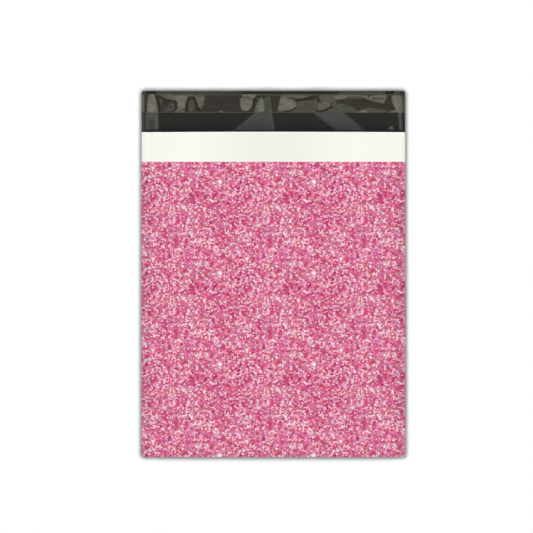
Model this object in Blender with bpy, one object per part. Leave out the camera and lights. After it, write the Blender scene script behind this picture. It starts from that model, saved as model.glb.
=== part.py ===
"""Poly mailer bag lying on its back, mouth and flap towards +Y, printed front panel up.

One web of co-extruded film makes the whole bag. It is folded once at the bottom, welded up
both sides, and its back panel runs on past the mouth as the closing flap. A band of hot-melt
adhesive lies across the inner face of the flap under a peel-off release liner.

Metres throughout. X is the width, Y the length, Z up from the table.
"""

import math

import bmesh
import bpy

# Bag
WIDTH = 0.254  # across the side welds
BODY_LENGTH = 0.314  # bottom fold to mouth
FLAP_LENGTH = 0.039  # mouth to the free edge of the flap
FLAP_CORNER = 0.0020  # radius of the flap's two free corners
FILM = 0.00006  # film thickness, 2.4 mil
WELD_WIDTH = 0.003  # side weld that fuses front and back
UNPRINTED_BAND = 0.029  # plain white film between the mouth and the printed field

# Pocket, as the film rests when it is empty
POCKET_HEIGHT = 0.0075  # clear height over the middle of the pocket
MOUTH_HEIGHT = 0.0063  # clear height at the middle of the mouth
FOLD_GAP = 0.0005  # clear height inside the bottom fold
SIDE_REACH = 0.045  # distance from a side weld to full height
FOLD_REACH = 0.045  # distance from the bottom fold to full height
MOUTH_REACH = 0.060  # distance from the mouth over which the height eases down
SEAM_HEIGHT = 0.0020  # the back panel sags this far below its seams, fold and free edge
FLAP_REACH = 0.050  # distance from the free edge over which the flap comes down to the table
RIPPLE = 0.00022  # height of the slow waves left in the front panel
RIPPLE_WAVES = ((31.0, 17.0, 0.6, 1.0), (47.0, -29.0, 2.1, 0.7))  # turn in x, in y, start, share

# Closing strip on the flap, measured from the free edge of the flap
LINER_MARGIN = 0.003  # bare film above the liner
LINER_WIDTH = 0.018
LINER_THICKNESS = 0.00005
LINER_INSET = 0.0003  # the liner's ends stop this far inside the side edges
ADHESIVE_MARGIN = 0.002  # the adhesive stops this far inside the liner's long edges
ADHESIVE_THICKNESS = 0.00005
LAYER_GAP = 0.00005  # clearance between film, adhesive and liner

# Soft pleats in the flap: side (-1 left, 1 right), distance in from that side at the mouth,
# the same at the free edge, half width, height
PLEATS = (
    (-1, 0.0105, 0.0090, 0.0075, 0.0007),
    (-1, 0.1110, 0.1220, 0.0190, 0.0005),
    (1, 0.0510, 0.0840, 0.0170, 0.0007),
    (1, 0.0150, 0.0150, 0.0060, 0.0005),
)
PLEAT_FADE = 0.015  # the pleats die out this far inside the mouth
SEAL_RIDGE = 0.00015  # bead that the welding bar leaves along the flap, in line with the welds

# Spacing of the corners that shape the film
EDGE_STEP = 0.0035
MIDDLE_STEP = 0.0125
FOLD_STEP = 0.0025
PANEL_STEP = 0.018
STEP_GROWTH = 1.25
CORNER_ROWS = (0.0, 0.3, 1.0)  # shares of the corner radius that get a row
FRONT = 90.0  # angle of the front panel's rows about the bottom fold
BACK = -90.0
FOLD_TURN = (-30.0, 30.0)  # angles of the rows that carry the film round the fold
MERGE = 1e-6

LENGTH = BODY_LENGTH + FLAP_LENGTH
HALF_WIDTH = WIDTH / 2
WELD_X = HALF_WIDTH - WELD_WIDTH
FREE_EDGE_Y = LENGTH / 2
MOUTH_Y = FREE_EDGE_Y - FLAP_LENGTH
PRINT_Y = MOUTH_Y - UNPRINTED_BAND
FOLD_Y = -LENGTH / 2 + FILM + FOLD_GAP / 2  # axis of the bottom fold
LINER_END = LINER_MARGIN + LINER_WIDTH
ADHESIVE_START = LINER_MARGIN + ADHESIVE_MARGIN
ADHESIVE_END = LINER_END - ADHESIVE_MARGIN


def graded(length, first, last):
    """Distances from 0 to the length, in steps that grow from the first to the last."""
    places = [0.0]
    step = first
    while places[-1] < length:
        places.append(places[-1] + step)
        step = min(step * STEP_GROWTH, last)
    return [place * length / places[-1] for place in places]


def even(start, end, count):
    """Places after the start, up to the end, in equal steps."""
    return [start + (end - start) * k / count for k in range(1, count + 1)]


HALF_COLUMNS = [WELD_X - d for d in reversed(graded(WELD_X, EDGE_STEP, MIDDLE_STEP))] + [HALF_WIDTH]
COLUMNS = [-x for x in reversed(HALF_COLUMNS[1:])] + HALF_COLUMNS
WELD_COLUMN = len(HALF_COLUMNS) - 2  # counted out from the middle column
FLAP_ROWS = (
    [share * FLAP_CORNER for share in CORNER_ROWS]
    + [LINER_MARGIN, ADHESIVE_START]
    + even(ADHESIVE_START, ADHESIVE_END, 3)
    + [LINER_END]
    + even(LINER_END, FLAP_LENGTH, 3)[:-1]
)


def eased(distance, reach):
    """0 at no distance, 1 at the reach and beyond, steepest at the start."""
    share = min(max(distance / reach, 0.0), 1.0)
    return 1 - (1 - share) ** 2


def smooth(share):
    """0 to 1 with no slope at either end."""
    share = min(max(share, 0.0), 1.0)
    return share * share * (3 - 2 * share)


def across(x):
    """Share of the pocket's full height that the side welds allow."""
    return eased(WELD_X - abs(x), SIDE_REACH)


def pocket_gap(x, y):
    """Clear height of the pocket between back and front panel."""
    from_fold = eased(y - FOLD_Y, FOLD_REACH)
    near_mouth = smooth(1 - (MOUTH_Y - y) / MOUTH_REACH)
    height = FOLD_GAP + (POCKET_HEIGHT - FOLD_GAP) * from_fold
    height -= (POCKET_HEIGHT - MOUTH_HEIGHT) * near_mouth
    for turn_x, turn_y, start, share in RIPPLE_WAVES:
        height += RIPPLE * share * from_fold * math.sin(turn_x * x + turn_y * y + start)
    return across(x) * height


def seam_lift(x, y):
    """Height of the back panel and flap above the table, which they touch over the middle."""
    resting = across(x) * eased(y - FOLD_Y, FOLD_REACH) * eased(FREE_EDGE_Y - y, FLAP_REACH)
    return SEAM_HEIGHT * (1 - resting)


def pleat_lift(x, y):
    """Height of the pleats and seal beads in the flap."""
    along = (y - MOUTH_Y) / FLAP_LENGTH
    lift = 0.0
    for side, at_mouth, at_free_edge, half, height in PLEATS:
        centre = side * (HALF_WIDTH - at_mouth - (at_free_edge - at_mouth) * along)
        off = abs(x - centre) / half
        if off < 1:
            lift += height * (0.5 + 0.5 * math.cos(math.pi * off))
    in_from_side = HALF_WIDTH - abs(x)
    lift *= smooth(in_from_side / WELD_WIDTH - 1)
    lift += SEAL_RIDGE * max(0.0, 1 - abs(in_from_side / WELD_WIDTH - 1))
    return lift * smooth(1 - (MOUTH_Y - y) / PLEAT_FADE)


def back_height(x, y):
    """Height of the outer face of the back panel and flap."""
    return seam_lift(x, y) + pleat_lift(x, y)


def inside_corner(x, y):
    """The x, drawn in where it would lie beyond a rounded free corner of the flap."""
    up = y - (FREE_EDGE_Y - FLAP_CORNER)
    if up <= 0:
        return x
    drawn_in = FLAP_CORNER - math.sqrt(max(0.0, FLAP_CORNER ** 2 - up ** 2))
    return math.copysign(min(abs(x), HALF_WIDTH - drawn_in), x)


def web_rows():
    """Rows along the web from the front mouth, round the fold, to the free edge: (y, angle)."""
    panel = [FOLD_Y + d for d in graded(PRINT_Y - FOLD_Y, FOLD_STEP, PANEL_STEP)]
    panel += even(PRINT_Y, MOUTH_Y, 2)
    front = [(y, FRONT) for y in reversed(panel)]
    turn = [(FOLD_Y, angle) for angle in reversed(FOLD_TURN)]
    back = [(y, BACK) for y in panel]
    flap = [(FREE_EDGE_Y - d, BACK) for d in reversed(FLAP_ROWS)]
    return front + turn + back + flap


ROWS = web_rows()


def web_point(column, row, inner):
    """Place on the web of film: its printed outer face, or its black inner face."""
    y, angle = ROWS[row]
    x = inside_corner(COLUMNS[column], y)
    lift = back_height(x, y)
    if angle == BACK:
        return (x, y, lift + (FILM if inner else 0.0))
    turn = math.radians(angle)
    half_gap = pocket_gap(x, y) / 2
    radius = half_gap if inner else half_gap + FILM
    return (x, y - radius * math.cos(turn), lift + FILM + half_gap + radius * math.sin(turn))


def grid_sheet(bm, columns, rows):
    """A flat sheet of triangles, each corner marked with its column and row.

    Every quad is split along the same diagonal, so that layers on the flap lie parallel.
    """
    column_tag = bm.verts.layers.int.new("column")
    row_tag = bm.verts.layers.int.new("row")
    bmesh.ops.create_grid(bm, x_segments=columns - 1, y_segments=rows - 1, size=1.0)
    for vert in bm.verts:
        vert[column_tag] = round((vert.co.x + 1) / 2 * (columns - 1))
        vert[row_tag] = round((vert.co.y + 1) / 2 * (rows - 1))
    bmesh.ops.triangulate(bm, faces=bm.faces[:], quad_method="FIXED")
    return column_tag, row_tag


def thicken(bm):
    """Gives the sheet a second face and closed edges. Returns the corners of the second face."""
    made = bmesh.ops.extrude_face_region(bm, geom=bm.faces[:], use_keep_orig=True)
    return {item for item in made["geom"] if isinstance(item, bmesh.types.BMVert)}


def material(name, colour, roughness):
    made = bpy.data.materials.new(name)
    made.use_nodes = True
    shader = made.node_tree.nodes["Principled BSDF"]
    shader.inputs["Base Color"].default_value = (*colour, 1.0)
    shader.inputs["Roughness"].default_value = roughness
    made.diffuse_color = (*colour, 1.0)
    return made


def add_object(name, bm, collection, materials):
    mesh = bpy.data.meshes.new(name)
    bmesh.ops.recalc_face_normals(bm, faces=bm.faces[:])
    bm.to_mesh(mesh)
    bm.free()
    for entry in materials:
        mesh.materials.append(entry)
    made = bpy.data.objects.new(name, mesh)
    collection.objects.link(made)
    return made


def build_film(collection):
    """The whole bag: folded web, fused side welds, open pocket and flap."""
    bm = bmesh.new()
    column_tag, row_tag = grid_sheet(bm, len(COLUMNS), len(ROWS))
    inner_verts = thicken(bm)
    middle = len(HALF_COLUMNS) - 1
    mouth_row = max(k for k, row in enumerate(ROWS) if abs(row[0] - MOUTH_Y) < MERGE)

    for vert in bm.verts:
        vert.co = web_point(vert[column_tag], vert[row_tag], vert in inner_verts)

    welded = []
    for face in bm.faces:
        out = min(abs(vert[column_tag] - middle) for vert in face.verts)
        top = max(vert[row_tag] for vert in face.verts)
        is_inner = all(vert in inner_verts for vert in face.verts)
        face.material_index = 2 if is_inner else 0
        if is_inner and out >= WELD_COLUMN and top <= mouth_row:
            welded.append(face)
        if not is_inner and max(vert.co.y for vert in face.verts) <= PRINT_Y + MERGE:
            face.material_index = 1
    bmesh.ops.delete(bm, geom=welded, context="FACES")
    bmesh.ops.remove_doubles(bm, verts=bm.verts[:], dist=MERGE)

    return add_object("bag_film", bm, collection, (
        material("white_film", (0.90, 0.90, 0.85), 0.45),
        material("glitter_print", (0.68, 0.22, 0.35), 0.50),
        material("black_inner_film", (0.022, 0.022, 0.020), 0.25),
    ))


def build_band(name, start, end, end_x, height, thickness, collection, look):
    """A strip across the inner face of the flap, which it follows."""
    columns = [x for x in COLUMNS if abs(x) < end_x - MERGE]
    columns = [-end_x] + columns + [end_x]
    rows = [FREE_EDGE_Y - d for d in reversed(FLAP_ROWS) if start - MERGE <= d <= end + MERGE]
    bm = bmesh.new()
    column_tag, row_tag = grid_sheet(bm, len(columns), len(rows))
    upper_verts = thicken(bm)
    for vert in bm.verts:
        x = columns[vert[column_tag]]
        y = rows[vert[row_tag]]
        rise = height + (thickness if vert in upper_verts else 0.0)
        vert.co = (x, y, back_height(x, y) + rise)
    return add_object(name, bm, collection, (look,))


def main():
    for item in list(bpy.data.objects):
        bpy.data.objects.remove(item)
    collection = bpy.data.collections.new("poly_mailer_bag")
    bpy.context.scene.collection.children.link(collection)

    build_film(collection)
    adhesive_height = FILM + LAYER_GAP
    build_band(
        "adhesive_strip", ADHESIVE_START, ADHESIVE_END, WELD_X, adhesive_height,
        ADHESIVE_THICKNESS, collection,
        material("clear_adhesive", (0.16, 0.14, 0.10), 0.30),
    )
    liner_height = adhesive_height + ADHESIVE_THICKNESS + LAYER_GAP
    build_band(
        "release_liner", LINER_MARGIN, LINER_END, HALF_WIDTH - LINER_INSET, liner_height,
        LINER_THICKNESS, collection,
        material("frosted_liner", (0.075, 0.070, 0.058), 0.35),
    )


main()
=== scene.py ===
# %% [markdown]
# A poly mailer is the light plastic bag that clothes are posted in. One web of film makes all of
# it: folded once at the bottom, welded up both sides, printed outside and black inside. The back
# panel runs on past the mouth as a flap, with a band of adhesive under a peel-off liner.
#
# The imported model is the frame. Everything below is built in metres in its space, with X across
# the bag, Y along it towards the flap and Z up from the table.

import math

import bmesh
import bpy
import numpy as np
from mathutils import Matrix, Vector


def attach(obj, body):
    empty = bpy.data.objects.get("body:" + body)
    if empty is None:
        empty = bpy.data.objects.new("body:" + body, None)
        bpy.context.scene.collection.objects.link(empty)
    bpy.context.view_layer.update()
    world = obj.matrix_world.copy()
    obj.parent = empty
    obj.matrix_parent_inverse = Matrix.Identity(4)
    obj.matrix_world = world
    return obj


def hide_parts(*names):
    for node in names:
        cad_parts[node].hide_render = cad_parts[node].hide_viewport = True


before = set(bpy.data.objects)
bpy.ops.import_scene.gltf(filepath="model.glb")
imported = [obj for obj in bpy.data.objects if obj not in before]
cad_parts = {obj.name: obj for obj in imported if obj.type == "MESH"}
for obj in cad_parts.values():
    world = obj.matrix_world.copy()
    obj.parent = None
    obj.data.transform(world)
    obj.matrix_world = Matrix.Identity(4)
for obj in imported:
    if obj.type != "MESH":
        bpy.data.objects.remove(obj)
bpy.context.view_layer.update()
print("nodes:", sorted(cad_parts))

# %% [markdown]
# The driving sizes are the same ones that shaped the model. Film this thin has no shape of its
# own, so what you see is how it rests: high over the middle of the pocket, down at the welds, and
# with its seams, fold and free edge riding a little above the table.

# %% Sizes of the bag
WIDTH = 0.254  # across the side welds
BODY_LENGTH = 0.314  # bottom fold to mouth
FLAP_LENGTH = 0.039  # mouth to the free edge of the flap
FLAP_CORNER = 0.0020  # radius of the flap's two free corners
FILM = 0.00006  # film thickness
WELD_WIDTH = 0.003  # side weld that fuses front and back
UNPRINTED_BAND = 0.0293  # plain white film between the mouth and the print

POCKET_HEIGHT = 0.0075
MOUTH_HEIGHT = 0.0063
FOLD_GAP = 0.0005
SIDE_REACH = 0.045
FOLD_REACH = 0.045
MOUTH_REACH = 0.060
SEAM_HEIGHT = 0.0020
FLAP_REACH = 0.050
RIPPLE = 0.00022
RIPPLE_WAVES = ((31.0, 17.0, 0.6, 1.0), (47.0, -29.0, 2.1, 0.7))  # turn in x, in y, start, share

LINER_MARGIN = 0.003  # bare film above the liner
LINER_WIDTH = 0.018
LINER_THICKNESS = 0.00005
LINER_INSET = 0.0003
ADHESIVE_MARGIN = 0.002
ADHESIVE_THICKNESS = 0.00005
LAYER_GAP = 0.00005

# Pleats in the flap: side, distance in at the mouth, at the free edge, half width, height
PLEATS = (
    (-1, 0.0105, 0.0090, 0.0075, 0.0007),
    (-1, 0.1110, 0.1220, 0.0190, 0.0005),
    (1, 0.0510, 0.0840, 0.0170, 0.0007),
    (1, 0.0150, 0.0150, 0.0060, 0.0005),
)
PLEAT_FADE = 0.015
SEAL_RIDGE = 0.00015
MERGE = 1e-6

LENGTH = BODY_LENGTH + FLAP_LENGTH
HALF_WIDTH = WIDTH / 2
WELD_X = HALF_WIDTH - WELD_WIDTH
FREE_EDGE_Y = LENGTH / 2
MOUTH_Y = FREE_EDGE_Y - FLAP_LENGTH
PRINT_Y = MOUTH_Y - UNPRINTED_BAND
FOLD_Y = -LENGTH / 2 + FILM + FOLD_GAP / 2
print("bag:", WIDTH, "by", LENGTH, "m, mouth at", round(MOUTH_Y, 4))
print("print from", round(PRINT_Y, 4), "down")

# %% [markdown]
# Many details of the flap are easiest to name by where they show in the photograph, so this cell
# says how its pixels and the bag's metres relate. The bag lies flat and the view is straight
# down, so one scale and one centre are enough.

# %% Photograph and camera
PHOTO = 533  # pixels along each side
METRES_PER_PIXEL = 0.00096431
BAG_CENTRE = (273.4, 274.0)  # pixels, the middle of the whole bag with its flap
CAMERA_HEIGHT = 10.0
SENSOR = 36.0

view_width = PHOTO * METRES_PER_PIXEL
camera_x = (PHOTO / 2 - BAG_CENTRE[0]) * METRES_PER_PIXEL
camera_y = (BAG_CENTRE[1] - PHOTO / 2) * METRES_PER_PIXEL

camera_data = bpy.data.cameras.new("camera")
camera_data.lens = SENSOR * CAMERA_HEIGHT / view_width
camera_data.sensor_width = SENSOR
camera = bpy.data.objects.new("camera", camera_data)
camera.location = (camera_x, camera_y, CAMERA_HEIGHT + SEAM_HEIGHT)
bpy.context.scene.collection.objects.link(camera)
bpy.context.scene.camera = camera
print("camera at", tuple(round(v, 4) for v in camera.location), "lens", round(camera_data.lens, 1))


def pixels(x, y):
    """Where a point of the bag shows in the photograph."""
    return BAG_CENTRE[0] + x / METRES_PER_PIXEL, BAG_CENTRE[1] - y / METRES_PER_PIXEL


# %% [markdown]
# The resting shape is written as heights over the table, one small function for each reason that
# the film leaves it: the pocket's air, the stiff seams, the pleats pressed into the flap and the
# bead that the welding bar leaves. Film, adhesive and liner all ask the same functions, so that
# they lie on each other without touching.

# %% How the film rests
def eased(distance, reach):
    """0 at no distance, 1 at the reach and beyond, steepest at the start."""
    share = min(max(distance / reach, 0.0), 1.0)
    return 1 - (1 - share) ** 2


def smooth(share):
    """0 to 1 with no slope at either end."""
    share = min(max(share, 0.0), 1.0)
    return share * share * (3 - 2 * share)


def across(x):
    """Share of the pocket's full height that the side welds allow."""
    return eased(WELD_X - abs(x), SIDE_REACH)


def pocket_gap(x, y):
    """Clear height of the pocket between back and front panel."""
    from_fold = eased(y - FOLD_Y, FOLD_REACH)
    near_mouth = smooth(1 - (MOUTH_Y - y) / MOUTH_REACH)
    height = FOLD_GAP + (POCKET_HEIGHT - FOLD_GAP) * from_fold
    height -= (POCKET_HEIGHT - MOUTH_HEIGHT) * near_mouth
    for turn_x, turn_y, start, share in RIPPLE_WAVES:
        height += RIPPLE * share * from_fold * math.sin(turn_x * x + turn_y * y + start)
    return across(x) * height


def seam_lift(x, y):
    """Height of the back panel and flap above the table, which they touch over the middle."""
    resting = across(x) * eased(y - FOLD_Y, FOLD_REACH) * eased(FREE_EDGE_Y - y, FLAP_REACH)
    return SEAM_HEIGHT * (1 - resting)


def pleat_lift(x, y):
    """Height of the pleats and seal beads in the flap."""
    along = (y - MOUTH_Y) / FLAP_LENGTH
    lift = 0.0
    for side, mouth_highlight_share, at_free_edge, half, height in PLEATS:
        centre = side * (HALF_WIDTH - mouth_highlight_share - (at_free_edge - mouth_highlight_share) * along)
        off = abs(x - centre) / half
        if off < 1:
            lift += height * (0.5 + 0.5 * math.cos(math.pi * off))
    in_from_side = HALF_WIDTH - abs(x)
    lift *= smooth(in_from_side / WELD_WIDTH - 1)
    lift += SEAL_RIDGE * max(0.0, 1 - abs(in_from_side / WELD_WIDTH - 1))
    return lift * smooth(1 - (MOUTH_Y - y) / PLEAT_FADE)


print("pocket at its middle:", round(pocket_gap(0, 0) * 1000, 2), "mm")
print("seam over the table:", round(seam_lift(HALF_WIDTH, 0) * 1000, 2), "mm")

# %% [markdown]
# The solids stop there, and a camera sees more. Handling leaves shallow crinkles in the bare film
# of the flap, a centimetre or two apart and a tenth of a millimetre high. A few sine waves that
# run at odd angles to each other make them, and they fade out at the welds, which are stiff. Two
# more small functions round the flap's free corners and draw the mouth's edge back, by 0.4 mm in
# the middle and 0.8 mm at the welds.

# %% Crinkles, corners and the mouth's edge
CRINKLE = 0.00010
CRINKLE_WAVES = (  # turn in x, in y, start
    (310.0, 130.0, 0.4),
    (-190.0, 260.0, 1.9),
    (470.0, -90.0, 3.1),
    (120.0, 420.0, 5.0),
)


def crinkle_lift(x, y):
    """Height of the crinkles, never below the plain film."""
    if y < MOUTH_Y - PLEAT_FADE:
        return 0.0
    wave = sum(math.sin(turn_x * x + turn_y * y + start) for turn_x, turn_y, start in CRINKLE_WAVES)
    share = max(0.0, wave / len(CRINKLE_WAVES)) * smooth((HALF_WIDTH - abs(x)) / WELD_WIDTH - 1)
    return CRINKLE * share * smooth(1 - (MOUTH_Y - y) / PLEAT_FADE)


def back_height(x, y):
    """Height of the outer face of the back panel and flap."""
    return seam_lift(x, y) + pleat_lift(x, y) + crinkle_lift(x, y)


def inside_corner(x, y):
    """The x, drawn in where it would lie beyond a rounded free corner of the flap."""
    up = y - (FREE_EDGE_Y - FLAP_CORNER)
    if up <= 0:
        return x
    drawn_in = FLAP_CORNER - math.sqrt(max(0.0, FLAP_CORNER ** 2 - up ** 2))
    return math.copysign(min(abs(x), HALF_WIDTH - drawn_in), x)


MOUTH_DRAW = 0.00042
MOUTH_BOW = 0.00035
MOUTH_DRAW_REACH = 0.015


def drawn_back(x, y):
    """The y, moved down a little near the mouth, and most at the welds."""
    draw = MOUTH_DRAW + MOUTH_BOW * (x / HALF_WIDTH) ** 2
    return y - draw * smooth(1 - abs(y - MOUTH_Y) / MOUTH_DRAW_REACH)


print("flap edge:", round(back_height(0, FREE_EDGE_Y) * 1000, 2), "mm over the table")

# %% [markdown]
# Each sheet starts as one flat grid. Its corners are tagged with their column and row, the grid is
# extruded onto itself to give it a second face, and then every corner is put where the resting
# shape wants it. This keeps the sheet closed and evenly cut however far it folds.

# %% Helpers for sheets
def even(start, end, step):
    """Places from the start to the end in equal steps of about the given size."""
    count = max(1, round(abs(end - start) / step))
    return [start + (end - start) * k / count for k in range(count + 1)]


def joined(*runs):
    """Runs of places end to end, with shared ends kept once."""
    places = list(runs[0])
    for run in runs[1:]:
        places += run[1:]
    return places


def grid_sheet(bm, columns, rows):
    """A flat sheet, each corner marked with its column and row and ready to take a tone."""
    bm.verts.layers.float_color.new("tone")
    column_tag = bm.verts.layers.int.new("column")
    row_tag = bm.verts.layers.int.new("row")
    bmesh.ops.create_grid(bm, x_segments=columns - 1, y_segments=rows - 1, size=1.0)
    for vert in bm.verts:
        vert[column_tag] = round((vert.co.x + 1) / 2 * (columns - 1))
        vert[row_tag] = round((vert.co.y + 1) / 2 * (rows - 1))
    return column_tag, row_tag


def thicken(bm):
    """Gives the sheet a second face and closed edges. Returns the corners of the second face."""
    made = bmesh.ops.extrude_face_region(bm, geom=bm.faces[:], use_keep_orig=True)
    return {item for item in made["geom"] if isinstance(item, bmesh.types.BMVert)}


print("10 mm in steps of about 3 mm:", [round(place, 2) for place in even(0.0, 10.0, 3.0)])

# %% [markdown]
# Every sheet is finished in the same way. Film looks smooth except at its cut edges, and smooth
# shading that ran over a cut edge would darken the first rows beside it, so edges that turn
# sharply are marked sharp. The piece is then attached to the root and stands for its node of the
# model, which is hidden.

# %% Finishing a piece
SHARP = math.radians(50)  # cut edges of the film turn further than this, its bends do not


def finish_piece(name, bm, materials, node):
    """Turns a bmesh into a piece that stands for a node of the model, which it hides."""
    bmesh.ops.recalc_face_normals(bm, faces=bm.faces[:])
    mesh = bpy.data.meshes.new(name)
    for face in bm.faces:
        face.smooth = True
    for edge in bm.edges:
        edge.smooth = edge.calc_face_angle(0.0) < SHARP
    bm.to_mesh(mesh)
    bm.free()
    for entry in materials:
        mesh.materials.append(entry)
    piece = bpy.data.objects.new(name, mesh)
    bpy.context.scene.collection.objects.link(piece)
    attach(piece, "root")
    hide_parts(node)
    mesh.calc_loop_triangles()
    print(name, len(mesh.loop_triangles), "triangles")
    return piece


print("edges that turn over", round(math.degrees(SHARP)), "degrees are sharp")

# %% [markdown]
# Colours are written as the eye reads them on a screen, from 0 to 255, and turned into the linear
# numbers that shaders use. A glossy black film also mirrors a little of the white room, so the
# colour under the gloss is the wanted one less that share.

# %% Colour helpers
GLOSS_SHARE = 0.016  # what the dark films mirror of the room
DARKEST = 0.002  # no film is blacker than this


def linear(tone):
    """A screen colour as linear numbers."""
    shares = [value / 255 for value in tone]
    return tuple(s / 12.92 if s <= 0.04045 else ((s + 0.055) / 1.055) ** 2.4 for s in shares)


def opaque(tone):
    """The same with full cover, as colour sockets take it."""
    return (*linear(tone), 1.0)


def under_gloss(tone):
    """Linear colour of a dark film that should show the given screen colour."""
    return tuple(max(DARKEST, value - GLOSS_SHARE) for value in linear(tone))


print("dark film under its gloss:", [round(v, 4) for v in under_gloss((40, 40, 38))])

# %% [markdown]
# Where the liner touches the adhesive it turns clear and the black film shows through it. Where
# it has lifted, it is frosted and grey. The light and dark of the flap's pleats, where they would
# turn to the light or away, is painted on the bare film and on the liner as painted reflections
# and painted shade. Both are written as lists of soft-edged outlines in the photograph's pixels,
# each with its screen colour, and the blend of them is kept on the mesh as a colour attribute
# called tone.

# %% Blending outlines into a tone
STROKE_SOFTNESS = 0.55  # pixels
CORNER_CUT = 0.25  # share of a side that is cut off at each of its ends


def depth_in(outline, px, py):
    """Signed distance in pixels into a closed outline, positive inside."""
    corners = np.array(outline, dtype=float)
    ends = np.roll(corners, -1, axis=0)
    gap = np.full(px.shape, np.inf)
    inside = np.zeros(px.shape, dtype=bool)
    for (ax, ay), (bx, by) in zip(corners, ends):
        ex, ey = bx - ax, by - ay
        along = np.clip(((px - ax) * ex + (py - ay) * ey) / (ex * ex + ey * ey), 0, 1)
        gap = np.minimum(gap, np.hypot(px - ax - along * ex, py - ay - along * ey))
        if ay != by:
            crossing = (ay > py) != (by > py)
            inside ^= crossing & (px < ax + (py - ay) / ey * ex)
    return np.where(inside, gap, -gap)


def depth_in_line(path, half_width, px, py):
    """The same for a stroke of the given half width along an open path."""
    gap = np.full(px.shape, np.inf)
    for (ax, ay), (bx, by) in zip(path[:-1], path[1:]):
        ex, ey = bx - ax, by - ay
        along = np.clip(((px - ax) * ex + (py - ay) * ey) / (ex * ex + ey * ey), 0, 1)
        gap = np.minimum(gap, np.hypot(px - ax - along * ex, py - ay - along * ey))
    return half_width - gap


def cover(depth, softness):
    """Share of cover, from 0 well outside to 1 well inside."""
    share = np.clip(depth / (2 * softness) + 0.5, 0, 1)
    return share * share * (3 - 2 * share)


def blend_tones(px, py, ground, patches, strokes):
    """Screen colours at the given pixels. Later patches lie over earlier ones."""
    tones = np.empty((len(px), 3))
    tones[:] = ground
    for tone, softness, outline in patches:
        share = cover(depth_in(outline, px, py), softness)[:, None]
        tones += share * (np.array(tone) - tones)
    for tone, half_width, path in strokes:
        share = cover(depth_in_line(path, half_width, px, py), STROKE_SOFTNESS)[:, None]
        tones += share * (np.array(tone) - tones)
    return tones


def rounded(outline, closed=True):
    """The same outline with its corners cut twice, so that it runs in curves."""
    points = [np.array(point, dtype=float) for point in outline]
    for _ in range(2):
        nexts = points[1:] + points[:1] if closed else points[1:]
        cut = [] if closed else [points[0]]
        for point, following in zip(points, nexts):
            cut.append(point * (1 - CORNER_CUT) + following * CORNER_CUT)
            cut.append(point * CORNER_CUT + following * (1 - CORNER_CUT))
        points = cut if closed else cut + [points[-1]]
    return points


unit = [(0, 0), (10, 0), (10, 10), (0, 10)]
print("depth at the middle of a 10 pixel square:", depth_in(unit, np.array([5.0]), np.array([5.0])))

# %% [markdown]
# The bare film of the flap is close to black. The creases pressed into it stand at other angles,
# and their light and dark is painted: straight-sided grey bands of painted reflection between the
# liner and the mouth, narrower ones along both seals and a mottled margin above the liner, and a
# painted shadow line just above the mouth, where the front panel's edge stands over the flap.

# %% Painted reflections and shade on the bare film
FILM_DARK = (44, 44, 42)
# Painted reflections of the creases, and painted shade that darkens the film near the mouth.
FILM_PAINTED_LIGHT_PATCHES = (  # screen colour, softness, outline in the photograph's pixels
    ((38, 38, 36), 1.6, ((142, 127), (404, 127), (404, 134), (142, 134))),
    ((74, 74, 70), 0.5, ((142, 112), (143.8, 112), (143.6, 132), (142, 132))),
    ((78, 78, 73), 0.6, ((145.6, 111), (157.8, 111), (159, 133), (145, 133))),
    ((66, 66, 62), 1.6, ((149.5, 120), (154.5, 120), (155, 133), (148.5, 133))),
    ((73, 74, 71), 1.1, ((257.4, 111), (271.7, 111), (276, 134), (229, 134))),
    ((75, 75, 74), 1.9, ((311, 111), (341.9, 111), (369.2, 134), (341, 134))),
    ((64, 64, 60), 1.0, (
        (386.4, 134), (387.6, 129.4), (390, 126.4), (393, 126), (394.4, 129), (394.4, 134),
    )),
    ((90, 91, 87), 1.0, (
        (389, 131), (389.6, 127.6), (391.6, 126), (393.2, 127.6), (393, 130.6), (391, 131),
    )),
    ((82, 82, 76), 0.7, ((398, 111), (400, 134), (402.2, 134), (401.6, 111))),
    ((70, 70, 66), 0.6, ((142, 91.5), (146, 91), (240, 91), (228, 94.5), (142, 94.5))),
    ((62, 62, 58), 0.8, ((228, 91.5), (246, 91.5), (240, 94.5), (222, 94.5))),
    ((34, 33, 29), 0.6, ((146, 89.6), (157.4, 89.6), (155.6, 93.8), (147, 93.8))),
    ((75, 74, 69), 0.9, ((330, 94.5), (346, 91.6), (386, 91.6), (386, 94.5))),
    ((36, 35, 31), 0.6, ((384.8, 90.2), (394, 90.2), (392, 94), (386, 94))),
    ((74, 73, 66), 0.6, ((394, 91.4), (400, 91.4), (400, 94.5), (394, 94.5))),
    ((70, 70, 64), 0.6, ((402, 92), (405, 92), (405, 112.6), (402.8, 112.6))),
)
# Painted highlights along the crease edges, and a painted shadow line just above the mouth where
# the front panel's edge stands over the flap.
FILM_PAINTED_LIGHT_STROKES = (  # screen colour, half width, path
    ((88, 88, 83), 0.8, ((156.2, 113), (157.4, 131))),
    ((81, 80, 78), 0.8, ((256.7, 113), (236, 130))),
    ((79, 79, 77), 0.7, ((270.2, 113.5), (273, 130))),
    ((26, 26, 22), 0.8, ((146, 130.6), (228, 130.6))),
    ((52, 52, 50), 0.7, ((228, 130.6), (275, 130.6))),
    ((26, 26, 22), 0.8, ((276, 130.6), (336, 130.6))),
    ((50, 49, 46), 0.7, ((337, 130.6), (364, 130.6))),
    ((26, 26, 22), 0.8, ((366, 130.6), (401, 130.6))),
    ((36, 36, 33), 0.5, ((144.4, 113.5), (144.2, 131))),
    ((40, 40, 38), 0.6, ((402.8, 113.5), (403.2, 131))),
    ((60, 60, 56), 0.4, ((404.7, 94), (404.7, 131))),
)
print(len(FILM_PAINTED_LIGHT_PATCHES), "patches on the film")
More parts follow.
